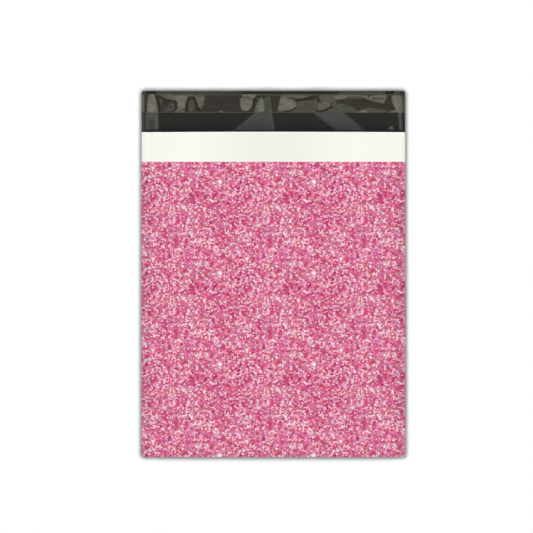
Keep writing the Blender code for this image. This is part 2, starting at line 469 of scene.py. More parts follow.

# %% [markdown]
# The liner shows the most life of the whole bag. Wide frosted islands, where it has lifted off the
# adhesive, stand between dark channels where it still holds. Over them lie painted highlights where
# the flap's pleats run under it: a strip at the left end, a tall arch by the left seal and a band
# by the right seal. Their edges are curved like drops of water between two panes, so their outlines
# get their corners rounded.

# %% Lifted and wetted places on the liner, and its painted highlights
LINER_DARK = (56, 54, 49)
# The next colour is that of the frosted islands and also of the painted highlight by the left seal.
FROST_AND_SHEEN = (107, 104, 95)
MID_FROST = (93, 90, 81)
THIN_FROST = (77, 76, 70)
HAZE = 1.4  # the liner blurs every edge a little
LINER_PATCHES = (  # screen colour, softness, outline
    # The first three patches, at the left end and by the left seal, are painted highlights of the
    # pleats under the liner.
    ((98, 98, 84), 0.5, ((141.5, 94), (144.6, 94), (144.2, 113), (141.5, 113))),
    (FROST_AND_SHEEN, 0.6, (
        (146.7, 114), (146.9, 103), (147.8, 97), (149.2, 94), (152, 93), (154.8, 94.6),
        (156.4, 102), (158.8, 114),
    )),
    ((118, 115, 102), 1.6, ((149, 113), (149, 106), (151.5, 102.6), (154.5, 106), (155, 113))),
    (MID_FROST, 0.7, (
        (158, 94.6), (176, 94.2), (176, 100.6), (171, 100), (166, 98.8), (160.6, 96.2),
    )),
    ((74, 73, 66), 0.8, ((159.6, 98.2), (162, 98.2), (162.6, 105), (160.4, 104.6))),
    (THIN_FROST, 0.7, (
        (161.6, 111.2), (168, 107.4), (170.4, 102.8), (173.4, 102.2), (175, 106), (174.6, 110.8),
        (172, 111.4),
    )),
    ((62, 60, 56), 0.9, ((169.6, 107), (172, 105.6), (173, 108), (171, 109.2))),
    (FROST_AND_SHEEN, 0.7, (
        (174.6, 94.8), (188.6, 94.6), (187.4, 99.6), (185, 104.8), (185.2, 109.2), (179.4, 109.4),
        (177.2, 107), (177.4, 101.6), (174.6, 98.6),
    )),
    ((97, 96, 88), 0.7, (
        (172.6, 113.6), (176.2, 110.2), (178.8, 107), (182, 110.4), (185, 110.4), (185.2, 113.6),
    )),
    ((82, 80, 73), 0.8, ((187, 94.8), (197, 94.8), (196, 97.4), (189, 97))),
    (THIN_FROST, 0.8, (
        (188.2, 110), (188.4, 103), (190.4, 99.8), (193.2, 100.2), (194.8, 104), (194.6, 110),
        (192.2, 111.6), (189.4, 111.6),
    )),
    ((95, 93, 87), 0.8, (
        (194.6, 95.2), (205.2, 95), (203.8, 101), (203, 107), (201, 108.6), (198.2, 106.6),
        (196.4, 101),
    )),
    ((98, 98, 90), 0.6, (
        (215.4, 113.4), (219, 111.2), (221, 110.2), (223.2, 111.4), (225.4, 113.4),
    )),
    (FROST_AND_SHEEN, 0.7, (
        (240.6, 97.6), (247, 97.8), (252, 99.4), (253, 102.8), (251.8, 108), (248.8, 111.4),
        (242.6, 111.4), (240.8, 107.4), (239.8, 102),
    )),
    ((112, 106, 99), 0.6, (
        (240.8, 94.2), (258.6, 94.2), (254.4, 97), (252.6, 99.8), (249, 97.2), (241.6, 96.4),
    )),
    ((80, 83, 75), 0.6, ((255.6, 99.4), (258, 96.8), (263.6, 95.6), (263, 98), (258.2, 99.4))),
    (FROST_AND_SHEEN, 0.7, (
        (257, 102.6), (260, 99), (263.4, 98.8), (264.2, 103), (265, 113.4), (254.4, 113.4),
        (256.2, 108),
    )),
    ((96, 91, 86), 0.6, ((254, 113.2), (256.2, 104.6), (258, 107), (257.2, 113.2))),
    ((75, 77, 69), 0.7, ((263.8, 96), (271, 96), (271.6, 104), (273, 113.6), (264.8, 113.6))),
    (FROST_AND_SHEEN, 0.7, (
        (280.6, 95.6), (287, 97.8), (297.2, 101.4), (296.6, 108), (288, 111), (277, 112.2),
        (279.2, 104),
    )),
    ((115, 110, 101), 1.3, ((283, 98.6), (292, 101.4), (292, 105.4), (282.6, 104.6))),
    ((98, 93, 84), 0.7, (
        (278.8, 94.4), (313.4, 94.4), (307, 97), (298, 99), (290, 97.6), (280.6, 96.8),
    )),
    (THIN_FROST, 0.8, (
        (296.4, 100.8), (313, 99.8), (318, 103), (317, 113.4), (282, 113.4), (296, 109),
    )),
    ((86, 81, 74), 0.9, ((318, 94.6), (336.4, 94.6), (335.6, 101.4), (331, 102.8), (321, 102))),
    ((97, 92, 84), 0.8, (
        (317.2, 103.6), (320.6, 101.2), (331, 101.8), (331.2, 105.6), (326.4, 109),
        (318.8, 110.8),
    )),
    ((84, 87, 78), 0.8, (
        (331.4, 107), (334.4, 101), (336.4, 98.8), (335.6, 104.4), (332.4, 109),
    )),
    (FROST_AND_SHEEN, 0.7, (
        (334.6, 94.8), (367.4, 94.4), (368.6, 99.4), (361, 97), (352, 97.2), (345, 98.8),
        (334.8, 100.2),
    )),
    ((109, 104, 95), 0.9, ((335.4, 95.4), (343, 95), (342, 98.4), (335.6, 99.2))),
    ((74, 71, 63), 0.6, ((344, 98), (352, 96), (360, 96.2), (364.4, 98.8), (352, 99))),
    ((79, 78, 71), 0.8, (
        (334.6, 102.4), (347, 104.8), (356.4, 109), (358.6, 113.4), (320.6, 113.4),
        (330.6, 109.2),
    )),
    ((103, 103, 92), 0.6, ((354.6, 113.4), (362.8, 108.8), (367.8, 109.6), (370, 113.4))),
    ((110, 105, 97), 0.6, (
        (366.6, 99), (372.6, 95), (387.4, 94.6), (386.6, 97), (384.4, 102.2), (381, 103),
        (373.6, 100.8),
    )),
    ((84, 84, 76), 0.7, ((370.6, 98.6), (375.6, 96.8), (385, 96.8), (383.2, 101), (376, 100.4))),
    ((83, 81, 74), 0.8, ((364.6, 107), (387, 110.2), (388, 113.6), (367.6, 113.6))),
    # These patches by the right seal are painted highlights of the pleat under the liner.
    ((110, 106, 97), 0.6, (
        (391.8, 96), (395, 95), (402.4, 94.6), (402.6, 113.8), (397.2, 113.8), (396, 109),
        (393.4, 104.8), (391.6, 100),
    )),
    ((119, 114, 106), 0.9, (
        (393.6, 99), (396.8, 99.4), (398.4, 107), (397.2, 110.6), (394.6, 105.4),
    )),
    ((96, 97, 82), 0.7, ((398.8, 98), (402.4, 95), (402.4, 113), (400, 113))),
    ((110, 108, 100), 0.6, (
        (386.4, 113.8), (391, 110.6), (396, 110.2), (403, 110.6), (403, 113.8),
    )),
    ((44, 43, 38), 0.5, ((402.4, 93), (406, 93), (406, 114), (403.2, 114))),
)
LINER_STROKES = (  # screen colour, half width, path
    ((44, 43, 37), 0.5, ((145.9, 113), (145.9, 103), (146.9, 97), (148.6, 93.8))),
    ((42, 40, 34), 0.9, ((156.4, 95.2), (158.2, 101), (160.2, 113))),
    ((44, 42, 36), 0.7, (
        (159.6, 96.6), (166, 99.8), (171.4, 101.4), (175.6, 101.2), (176.4, 105), (175.8, 109.4),
        (172.4, 112.2), (162, 112.4),
    )),
    ((42, 40, 34), 0.85, (
        (186.4, 112.4), (187, 104), (188, 98.6), (191.4, 97.4), (194.4, 98), (196, 102),
        (196.8, 109), (199.6, 110.6),
    )),
    ((40, 37, 32), 0.7, (
        (264, 95.8), (257, 96.8), (254.2, 99.8), (253.8, 104.6), (251.2, 108.8), (248.8, 111.8),
        (243, 112.2),
    )),
    ((44, 42, 37), 0.5, ((271.4, 96.8), (271.8, 104), (273.8, 112.2))),
    ((46, 42, 35), 0.6, ((282.4, 112), (290.6, 110.6), (296.6, 107.4))),
    ((42, 40, 34), 0.8, ((296.8, 100.1), (304, 99.8), (309, 98.7), (314, 96.8))),
    ((54, 50, 44), 0.6, ((315.4, 96.6), (318.4, 99.2), (320.2, 103))),
    ((88, 86, 77), 0.5, ((314.6, 98.6), (317, 103), (317.6, 108.6))),
    ((45, 42, 35), 0.8, ((320.2, 111.5), (326.2, 109.8), (331.8, 106.6))),
    ((106, 99, 90), 0.5, ((319, 109.4), (326, 107.8), (330.6, 104.8))),
    ((92, 91, 82), 0.5, ((367, 98.9), (375, 101.4), (384, 102.9))),
    ((92, 90, 82), 0.4, ((156, 94.9), (206, 94.9))),
    ((78, 76, 71), 0.4, ((206, 94.9), (240, 94.9))),
    ((86, 82, 76), 0.4, ((258, 94.9), (400, 94.9))),
    ((84, 85, 79), 0.45, ((142, 112.5), (404, 112.5))),
    ((86, 86, 78), 0.75, ((404.2, 95), (404.2, 112))),
)
LINER_PATCHES = tuple(
    (tone, soft * HAZE, rounded(outline)) for tone, soft, outline in LINER_PATCHES
)
LINER_STROKES = tuple(
    (tone, half, rounded(path, closed=False)) for tone, half, path in LINER_STROKES
)
print(len(LINER_PATCHES), "lifted places,", len(LINER_STROKES), "channels and edges")

# %% [markdown]
# Colours and finishes are built from shader nodes, and most nodes need the same few lines: add
# the node, link what comes in and set the rest. These helpers do that, so that a finish reads as a
# short list of steps.

# %% Helpers for shader nodes
def new_group(name, inputs, outputs):
    """An empty node group with named sockets."""
    group = bpy.data.node_groups.new(name, "ShaderNodeTree")
    for label, kind, value in inputs:
        socket = group.interface.new_socket(name=label, in_out="INPUT", socket_type=kind)
        if value is not None:
            socket.default_value = value
    for label, kind in outputs:
        group.interface.new_socket(name=label, in_out="OUTPUT", socket_type=kind)
    return group, group.nodes.new("NodeGroupInput"), group.nodes.new("NodeGroupOutput")


def add_noise(nodes, links, vector, scale, detail):
    """A Noise texture with so many features to the metre."""
    noise = nodes.new("ShaderNodeTexNoise")
    noise.inputs["Scale"].default_value = scale
    noise.inputs["Detail"].default_value = detail
    links.new(vector, noise.inputs["Vector"])
    return noise


def add_math(nodes, links, operation, *values):
    """A Math node whose inputs are sockets or plain numbers."""
    step = nodes.new("ShaderNodeMath")
    step.operation = operation
    for socket, value in zip(step.inputs, values):
        if isinstance(value, bpy.types.NodeSocket):
            links.new(value, socket)
        else:
            socket.default_value = value
    return step.outputs["Value"]


def add_fade(nodes, links, value, start, end, first, last):
    """A smooth change from the first number to the last as the value goes from start to end."""
    fade = nodes.new("ShaderNodeMapRange")
    fade.interpolation_type = "SMOOTHSTEP"
    links.new(value, fade.inputs["Value"])
    labels = ("From Min", "From Max", "To Min", "To Max")
    for label, number in zip(labels, (start, end, first, last)):
        fade.inputs[label].default_value = number
    return fade.outputs["Result"]


def add_scale(nodes, links, vector, share):
    """A colour or vector times a number."""
    scaled = nodes.new("ShaderNodeVectorMath")
    scaled.operation = "SCALE"
    links.new(vector, scaled.inputs[0])
    if isinstance(share, bpy.types.NodeSocket):
        links.new(share, scaled.inputs["Scale"])
    else:
        scaled.inputs["Scale"].default_value = share
    return scaled.outputs["Vector"]


node_helpers = (new_group, add_noise, add_math, add_fade, add_scale)
print("node helpers:", [helper.__name__ for helper in node_helpers])

# %% [markdown]
# Two effects are kept as node groups. The first is shared by every film and is what handling does
# to it: a slow mottling of its gloss and a very shallow waviness of the surface. It puts out a
# roughness and a height for a Bump node.

# %% Group: film wear
HAZES_PER_METRE = 45.0
WAVES_PER_METRE = 120.0
FLOAT = "NodeSocketFloat"
VECTOR = "NodeSocketVector"
COLOUR = "NodeSocketColor"

wear_group, wear_in, wear_out = new_group(
    "film_wear",
    [("Vector", VECTOR, None), ("Roughness", FLOAT, 0.3), ("Spread", FLOAT, 0.1)],
    [("Roughness", FLOAT), ("Height", FLOAT)],
)
nodes, links = wear_group.nodes, wear_group.links
haze = add_noise(nodes, links, wear_in.outputs["Vector"], HAZES_PER_METRE, detail=3.0)
waves = add_noise(nodes, links, wear_in.outputs["Vector"], WAVES_PER_METRE, detail=2.0)
centred = add_math(nodes, links, "SUBTRACT", haze.outputs["Fac"], 0.5)
spread = add_math(nodes, links, "MULTIPLY", centred, wear_in.outputs["Spread"])
rough = add_math(nodes, links, "ADD", spread, wear_in.outputs["Roughness"])
links.new(rough, wear_out.inputs["Roughness"])
links.new(waves.outputs["Fac"], wear_out.inputs["Height"])
print("film_wear has", len(nodes), "nodes")

# %% [markdown]
# The print is a picture of loose glitter: flakes of under two millimetres at every angle, from
# deep magenta through crimson and salmon to near white. Their colours are written as two ramps
# from the deepest flake to the brightest, one vivid and one dusty. A third ramp tints flakes a
# little towards cream or lilac.

# %% Colours of the glitter
VIVID_STOPS = (
    (0.00, (189, 32, 94)),
    (0.20, (210, 67, 122)),
    (0.45, (220, 99, 148)),
    (0.70, (229, 128, 169)),
    (0.88, (238, 162, 191)),
    (1.00, (249, 208, 223)),
)
DUSTY_STOPS = (
    (0.00, (174, 42, 97)),
    (0.20, (192, 78, 120)),
    (0.45, (202, 113, 142)),
    (0.70, (213, 140, 163)),
    (0.88, (225, 172, 185)),
    (1.00, (240, 218, 219)),
)
TINT_STOPS = (  # linear multipliers, from creamy to lilac
    (0.0, (0.82, 0.755, 0.64)),
    (1.0, (0.795, 0.91, 1.00)),
)
TINT_LOSS = 0.82  # how much a tint darkens the flakes, made good at the end


def add_ramp(nodes, links, factor, stops, convert=linear):
    """A colour ramp through the given stops."""
    ramp = nodes.new("ShaderNodeValToRGB")
    while len(ramp.color_ramp.elements) < len(stops):
        ramp.color_ramp.elements.new(0.5)
    for element, (place, tone) in zip(ramp.color_ramp.elements, stops):
        element.position = place
        element.color = (*convert(tone), 1.0)
    links.new(factor, ramp.inputs["Fac"])
    return ramp.outputs["Color"]


def add_mix(nodes, links, factor, first, second, blend="MIX"):
    """The first colour with a share of the second one mixed in."""
    mix = nodes.new("ShaderNodeMix")
    mix.data_type = "RGBA"
    mix.blend_type = blend
    for label, value in (("Factor", factor), ("A", first), ("B", second)):
        socket = next(s for s in mix.inputs if s.name == label and s.enabled)
        if isinstance(value, bpy.types.NodeSocket):
            links.new(value, socket)
        else:
            socket.default_value = value
    return next(s for s in mix.outputs if s.enabled)


print(len(VIVID_STOPS), "vivid and", len(DUSTY_STOPS), "dusty pinks")

# %% [markdown]
# No flake is like the next one, and Voronoi cells are such flakes. Each cell has its own random
# colour, whose red says how deep the flake's pink is and whose blue says whether that pink is
# vivid or dusty. A second set of cells, twice as wide, tints whole families of flakes. The
# printing roller repeats its picture about every nine centimetres, so the coordinates are wrapped.

# %% Group: glitter flakes
def add_cells(nodes, links, vector, scale):
    """Random red, green and blue for each of so many cells to the metre."""
    cells = nodes.new("ShaderNodeTexVoronoi")
    cells.voronoi_dimensions = "2D"
    cells.inputs["Scale"].default_value = scale
    links.new(vector, cells.inputs["Vector"])
    split = nodes.new("ShaderNodeSeparateColor")
    links.new(cells.outputs["Color"], split.inputs["Color"])
    return split.outputs


FLAKES_PER_METRE = 580.0
FAMILIES_PER_METRE = FLAKES_PER_METRE / 2
DUSTY_FROM = 0.5
TILE_X = 0.0906  # the printing roller repeats the pattern
TILE_Y = 0.0879
BEND = 0.0016  # how far the noise pushes the edges of a flake about
BENDS_PER_METRE = 420.0
DRIFT = 0.33  # how far slow noise moves a flake along its ramp
DRIFTS_PER_METRE = 24.0
CLUMP = (-0.0515, 0.0010)  # middle of one repeat, where some white flakes stick together
glitter_group, glitter_in, glitter_out = new_group(
    "glitter_flakes", [("Vector", VECTOR, None)], [("Color", COLOUR)]
)
nodes, links = glitter_group.nodes, glitter_group.links
tile = nodes.new("ShaderNodeVectorMath")
tile.operation = "WRAP"
tile.inputs[1].default_value = (CLUMP[0] + TILE_X / 2, CLUMP[1] + TILE_Y / 2, 1.0)
tile.inputs[2].default_value = (CLUMP[0] - TILE_X / 2, CLUMP[1] - TILE_Y / 2, -1.0)
links.new(glitter_in.outputs["Vector"], tile.inputs[0])
tiled = tile.outputs["Vector"]
bend = add_noise(nodes, links, tiled, BENDS_PER_METRE, detail=1.0)
shift = nodes.new("ShaderNodeVectorMath")
shift.operation = "MULTIPLY_ADD"
shift.inputs[1].default_value = (BEND, BEND, 0.0)
links.new(bend.outputs["Color"], shift.inputs[0])
links.new(tiled, shift.inputs[2])

drift = add_noise(nodes, links, tiled, DRIFTS_PER_METRE, detail=0.0)
drift_start = add_math(nodes, links, "MULTIPLY_ADD", drift.outputs["Fac"], DRIFT, -DRIFT / 2)
flakes = add_cells(nodes, links, shift.outputs["Vector"], FLAKES_PER_METRE)
depth = add_math(nodes, links, "ADD", flakes["Red"], drift_start)
vivid = add_ramp(nodes, links, depth, VIVID_STOPS)
dusty = add_ramp(nodes, links, depth, DUSTY_STOPS)
families = add_cells(nodes, links, shift.outputs["Vector"], FAMILIES_PER_METRE)
tint = add_ramp(nodes, links, families["Green"], TINT_STOPS, convert=tuple)
is_dusty = add_math(nodes, links, "GREATER_THAN", flakes["Blue"], DUSTY_FROM)
flake_colour = add_mix(nodes, links, is_dusty, vivid, dusty)
flake_colour = add_mix(nodes, links, 1.0, flake_colour, tint, blend="MULTIPLY")
print("glitter_flakes starts with", len(nodes), "nodes")

# %% [markdown]
# Real glitter lies in layers, so one more and finer set of cells is laid over the flakes: a few of
# them are specks that flash nearly white and a few are dark gaps. In each repeat two clumps of
# white flakes sit in the picture, and the distance from their centres makes them.

# %% Specks, gaps and white clumps
SPECKS_PER_METRE = FLAKES_PER_METRE * 1.45
SPECKS_FROM = 0.93
GAPS_TO = 0.13
SPECK = (235, 222, 217)
SPECK_COVER = 0.8
GAP = (158, 30, 84)
GAP_COVER = 0.55
CLUMP_WHITE = (240, 230, 226)
CLUMP_COVER = 0.8
CLUMP_CORE = 0.3  # share of the radius that is covered in full
CLUMPS = ((0.0, 0.0, 0.0030), (0.0260, 0.0135, 0.0022))  # place from the first one, radius

specks = add_cells(nodes, links, shift.outputs["Vector"], SPECKS_PER_METRE)
is_speck = add_math(nodes, links, "GREATER_THAN", specks["Red"], SPECKS_FROM)
is_gap = add_math(nodes, links, "LESS_THAN", specks["Green"], GAPS_TO)
layered = flake_colour
for is_there, cover_share, tone in ((is_gap, GAP_COVER, GAP), (is_speck, SPECK_COVER, SPECK)):
    share = add_math(nodes, links, "MULTIPLY", is_there, cover_share)
    layered = add_mix(nodes, links, share, layered, opaque(tone))

flat = nodes.new("ShaderNodeVectorMath")
flat.operation = "MULTIPLY"
flat.inputs[1].default_value = (1.0, 1.0, 0.0)
links.new(shift.outputs["Vector"], flat.inputs[0])
for off_x, off_y, radius in CLUMPS:
    from_clump = nodes.new("ShaderNodeVectorMath")
    from_clump.operation = "DISTANCE"
    links.new(flat.outputs["Vector"], from_clump.inputs[0])
    from_clump.inputs[1].default_value = (
        CLUMP[0] + off_x + BEND / 2, CLUMP[1] + off_y + BEND / 2, 0.0
    )
    distance = from_clump.outputs["Value"]
    share = add_fade(nodes, links, distance, radius * CLUMP_CORE, radius, CLUMP_COVER, 0.0)
    layered = add_mix(nodes, links, share, layered, opaque(CLUMP_WHITE))
links.new(add_scale(nodes, links, layered, 1 / TINT_LOSS), glitter_out.inputs["Color"])
print("glitter_flakes has", len(nodes), "nodes")

# %% [markdown]
# Every finish is a Principled material. Three helpers make one, place a node group in it and turn
# a height into relief.

# %% Helpers for materials
def new_material(name, roughness, specular, ior=1.5):
    """A Principled material, with its nodes, its links and its shader."""
    made = bpy.data.materials.new(name)
    made.use_nodes = True
    shader = made.node_tree.nodes["Principled BSDF"]
    shader.inputs["Roughness"].default_value = roughness
    shader.inputs["Specular IOR Level"].default_value = specular
    shader.inputs["IOR"].default_value = ior
    return made, made.node_tree.nodes, made.node_tree.links, shader


def add_group(nodes, links, group, vector, **values):
    """A node group in a material, with its plain inputs set by name."""
    made = nodes.new("ShaderNodeGroup")
    made.node_tree = group
    links.new(vector, made.inputs["Vector"])
    for label, value in values.items():
        made.inputs[label].default_value = value
    return made.outputs


def add_bump(nodes, links, shader, height, distance):
    """Relief of the given height in metres on the shader's normal."""
    bump = nodes.new("ShaderNodeBump")
    bump.inputs["Distance"].default_value = distance
    bump.inputs["Strength"].default_value = 1.0
    links.new(height, bump.inputs["Height"])
    links.new(bump.outputs["Normal"], shader.inputs["Normal"])


print("material helpers:", [helper.__name__ for helper in (new_material, add_group, add_bump)])

# %% [markdown]
# The outside of the bag is white film with the print on it. One material does both, and a
# comparison with the Y coordinate says where the ink starts, so that the print's edge is crisp
# however the mesh is cut. Over that, painted shade makes the white a little darker across the
# middle of the band and the print darker beside the welds and above the fold, and a narrow line
# of film along the mouth is a hair brighter, a painted highlight.

# %% Material: printed white film
WHITE_FILM = (248, 248, 238)
WHITE_MIDDLE_SHADE = (240, 240, 231)  # painted shade across the middle of the band, where the crown lies flattest
WHITE_WELD = (240, 240, 232)  # the black inside shows through a little
# Painted highlight along the mouth's cut edge, and its width.
MOUTH_HIGHLIGHT = (252, 252, 244)
MOUTH_HIGHLIGHT_WIDTH = 0.0014
CROWN_SHADE_FADE = (0.012, 0.080)  # the painted shade fades out between these distances from the middle line
WELD_BLUR = 0.0004
SIDE_PAINTED_SHADE = 0.86  # painted shade: the print darker beside the welds and above the fold, where the film turns down
SIDE_FADE = (0.0105, 0.0065)  # in from the side
# Painted shade: the print a little darker just above the fold.
FOLD_PAINTED_SHADE = 0.94
FOLD_FADE = (0.003, 0.006)  # up from the fold
PRINT_WAVINESS = 0.00002

printed, nodes, links, shader = new_material("printed_white_film", roughness=0.45, specular=0.30)
place = nodes.new("ShaderNodeTexCoord").outputs["Object"]
parts = nodes.new("ShaderNodeSeparateXYZ")
links.new(place, parts.inputs["Vector"])
from_middle = add_math(nodes, links, "ABSOLUTE", parts.outputs["X"])
glitter = add_group(nodes, links, glitter_group, place)
wear = add_group(nodes, links, wear_group, place, Roughness=0.42, Spread=0.16)
from_mouth = add_math(nodes, links, "SUBTRACT", MOUTH_Y, parts.outputs["Y"])
mouth_highlight_share = add_math(nodes, links, "COMPARE", from_mouth, 0.0, MOUTH_HIGHLIGHT_WIDTH)
crown_shade = add_fade(nodes, links, from_middle, *CROWN_SHADE_FADE, 1.0, 0.0)
in_weld = add_fade(nodes, links, from_middle, WELD_X - WELD_BLUR, WELD_X + WELD_BLUR, 0.0, 1.0)
white = opaque(WHITE_FILM)
# Painted shade across the middle and a painted highlight at the mouth, laid over the white film.
for share, tone in ((crown_shade, WHITE_MIDDLE_SHADE), (in_weld, WHITE_WELD), (mouth_highlight_share, MOUTH_HIGHLIGHT)):
    white = add_mix(nodes, links, share, white, opaque(tone))
is_print = add_math(nodes, links, "LESS_THAN", parts.outputs["Y"], PRINT_Y)

# Painted shade on the print beside the welds and above the fold.
side_start, side_end = (HALF_WIDTH - distance for distance in SIDE_FADE)
side_shade = add_fade(nodes, links, from_middle, side_start, side_end, 1.0, SIDE_PAINTED_SHADE)
fold_start, fold_end = (-LENGTH / 2 + distance for distance in FOLD_FADE)
fold_shade = add_fade(nodes, links, parts.outputs["Y"], fold_start, fold_end, FOLD_PAINTED_SHADE, 1.0)
shade = add_math(nodes, links, "MULTIPLY", side_shade, fold_shade)
shaded_print = add_scale(nodes, links, glitter["Color"], shade)
links.new(add_mix(nodes, links, is_print, white, shaded_print), shader.inputs["Base Color"])
links.new(wear["Roughness"], shader.inputs["Roughness"])
add_bump(nodes, links, shader, wear["Height"], PRINT_WAVINESS)
print("printed_white_film has", len(nodes), "nodes")

# %% [markdown]
# The inside of the film is black, and the flap shows it. Its colour comes from the tone
# attribute, which holds the flap's painted reflections and painted shade, already lessened by what
# its gloss mirrors. The liner is the same idea with more haze. The adhesive under it is an amber
# gum, which shows only once the liner is peeled off.

# %% Materials: black film, liner and adhesive
MOTTLES_PER_METRE = 320.0
MOTTLE_TURN = 0.35
MOTTLE_STRETCH = (0.6, 1.5, 1.0)
MOTTLE_FADE = (0.3, 0.7)  # values of the noise from darkest to lightest
STREAKS_PER_METRE = 260.0
GUM_STOPS = ((0.3, (70, 62, 48)), (0.7, (112, 102, 82)))


def tone_material(name, roughness, spread, waviness, mottling):
    """A finish that takes its colour from the tone attribute, mottled by the given share."""
    made, nodes, links, shader = new_material(name, roughness, specular=0.20)
    place = nodes.new("ShaderNodeTexCoord").outputs["Object"]
    wear = add_group(nodes, links, wear_group, place, Roughness=roughness, Spread=spread)
    tone = nodes.new("ShaderNodeAttribute")
    tone.attribute_name = "tone"
    drawn = nodes.new("ShaderNodeMapping")
    drawn.inputs["Rotation"].default_value = (0.0, 0.0, MOTTLE_TURN)
    drawn.inputs["Scale"].default_value = MOTTLE_STRETCH
    links.new(place, drawn.inputs["Vector"])
    mottle = add_noise(nodes, links, drawn.outputs["Vector"], MOTTLES_PER_METRE, detail=4.0)
    value = mottle.outputs["Fac"]
    share = add_fade(nodes, links, value, *MOTTLE_FADE, 1 - mottling, 1 + mottling)
    links.new(add_scale(nodes, links, tone.outputs["Color"], share), shader.inputs["Base Color"])
    links.new(wear["Roughness"], shader.inputs["Roughness"])
    add_bump(nodes, links, shader, wear["Height"], waviness)
    return made


black_film = tone_material(
    "black_inner_film", roughness=0.24, spread=0.14, waviness=0.00003, mottling=0.10
)
liner_film = tone_material(
    "frosted_liner", roughness=0.34, spread=0.20, waviness=0.00004, mottling=0.22
)

gum, nodes, links, shader = new_material("clear_adhesive", roughness=0.30, specular=0.30)
place = nodes.new("ShaderNodeTexCoord").outputs["Object"]
wear = add_group(nodes, links, wear_group, place, Roughness=0.30, Spread=0.20)
streaks = add_noise(nodes, links, place, STREAKS_PER_METRE, detail=2.0)
links.new(add_ramp(nodes, links, streaks.outputs["Fac"], GUM_STOPS), shader.inputs["Base Color"])
links.new(wear["Roughness"], shader.inputs["Roughness"])
add_bump(nodes, links, shader, wear["Height"], distance=0.00005)
print("materials:", [m.name for m in (printed, black_film, liner_film, gum)])

# %% [markdown]
# Now the film itself, in one piece from the front mouth round the bottom fold to the free edge.
# Rows are close together where the flap's creases need them and wide over the quiet panels. Both
# panels have the same rows, so that their corners meet in the welds, and a column stands on each
# weld line, so that the seal bead stays sharp.

# %% Columns and rows of the web
COLUMN_STEP = 0.00102
FLAP_STEP = 0.00078
PANEL_STEP = 0.0052
FOLD_TURNS = (78, 54, 30, 10, -10, -30, -54, -78)  # angles of the rows round the fold
CORNER_ROWS = (0.6, 0.3, 0.1)  # shares of the corner radius that get a row
FRONT = 90.0
BACK = -90.0

weld_middle = HALF_WIDTH - WELD_WIDTH / 2
columns = joined(
    [-HALF_WIDTH, -weld_middle, -WELD_X],
    even(-WELD_X, WELD_X, COLUMN_STEP),
    [WELD_X, weld_middle, HALF_WIDTH],
)
panel_rows = joined(even(FOLD_Y, PRINT_Y, PANEL_STEP), even(PRINT_Y, MOUTH_Y, PANEL_STEP))
corner_start = FREE_EDGE_Y - FLAP_CORNER
flap_rows = joined(
    even(MOUTH_Y, corner_start, FLAP_STEP),
    [corner_start, *(FREE_EDGE_Y - FLAP_CORNER * share for share in CORNER_ROWS), FREE_EDGE_Y],
)
web = [(y, FRONT) for y in reversed(panel_rows)]
web += [(FOLD_Y, angle) for angle in FOLD_TURNS]
web += [(y, BACK) for y in joined(panel_rows, flap_rows)]
print(len(columns), "columns,", len(web), "rows")


def web_point(x, row, inner):
    """Place on the web of film: its outer white face, or its black inner face."""
    y, angle = row
    x, y = inside_corner(x, y), drawn_back(x, y)
    lift = back_height(x, y)
    if angle == BACK:
        return (x, y, lift + (FILM if inner else 0.0))
    turn = math.radians(angle)
    half_gap = pocket_gap(x, y) / 2
    radius = half_gap if inner else half_gap + FILM
    return (x, y - radius * math.cos(turn), lift + FILM + half_gap + radius * math.sin(turn))


# %% [markdown]
# Inside the side welds the two layers are one, so the inner faces there are taken out and the
# corners that meet are merged. What is left is a single closed skin with a real pocket in it.

# %% Bag film
def store_tones(bm, verts, ground, patches, strokes):
    """Writes the blended tones to the corners, as a colour attribute."""
    tone = bm.verts.layers.float_color["tone"]
    plain = (*under_gloss(ground), 1.0)
    for vert in bm.verts:
        vert[tone] = plain
    verts = list(verts)
    places = np.array([pixels(vert.co.x, vert.co.y) for vert in verts])
    tones = blend_tones(places[:, 0], places[:, 1], ground, patches, strokes)
    for vert, value in zip(verts, tones):
        vert[tone] = (*under_gloss(value), 1.0)
    return tones


def build_film():
    """Folded web, fused welds, open pocket and flap."""
    bm = bmesh.new()
    column_tag, row_tag = grid_sheet(bm, len(columns), len(web))
    inner_verts = thicken(bm)
    mouth_row = max(k for k, row in enumerate(web) if abs(row[0] - MOUTH_Y) < MERGE)
    for vert in bm.verts:
        vert.co = web_point(columns[vert[column_tag]], web[vert[row_tag]], vert in inner_verts)

    welded = []
    for face in bm.faces:
        is_inner = all(vert in inner_verts for vert in face.verts)
        face.material_index = 1 if is_inner else 0
        in_weld = min(abs(vert.co.x) for vert in face.verts) > WELD_X - MERGE
        if is_inner and in_weld and max(vert[row_tag] for vert in face.verts) <= mouth_row:
            welded.append(face)
    bmesh.ops.delete(bm, geom=welded, context="FACES")
    bmesh.ops.remove_doubles(bm, verts=bm.verts[:], dist=MERGE)
    near_flap = MOUTH_Y - PLEAT_FADE
    on_flap = [v for v in bm.verts if v.co.y > near_flap and web[v[row_tag]][1] == BACK]
    # The flap's tone is painted reflections and painted shade over its dark film.
    store_tones(bm, on_flap, FILM_DARK, FILM_PAINTED_LIGHT_PATCHES, FILM_PAINTED_LIGHT_STROKES)
    return finish_piece("mailer_film", bm, (printed, black_film), "bag_film")


build_film()

# %% [markdown]
# The adhesive and its liner are thin bands that follow the flap. The liner is also pushed up by up
# to a tenth of a millimetre where it has lifted, so its islands stand proud and their rims catch
# light. How far each corner is lifted is read from how light its tone is, so the places of painted
# highlight are raised as well as the frosted islands.

# %% Adhesive and liner
ISLAND_LIFT = 0.00010
HELD_TONE = 48  # this dark and darker, the liner sticks to the adhesive
LINER_END = LINER_MARGIN + LINER_WIDTH
ADHESIVE_START = LINER_MARGIN + ADHESIVE_MARGIN
ADHESIVE_END = LINER_END - ADHESIVE_MARGIN
ADHESIVE_STEP = 0.001
LINER_STEP = 0.0005


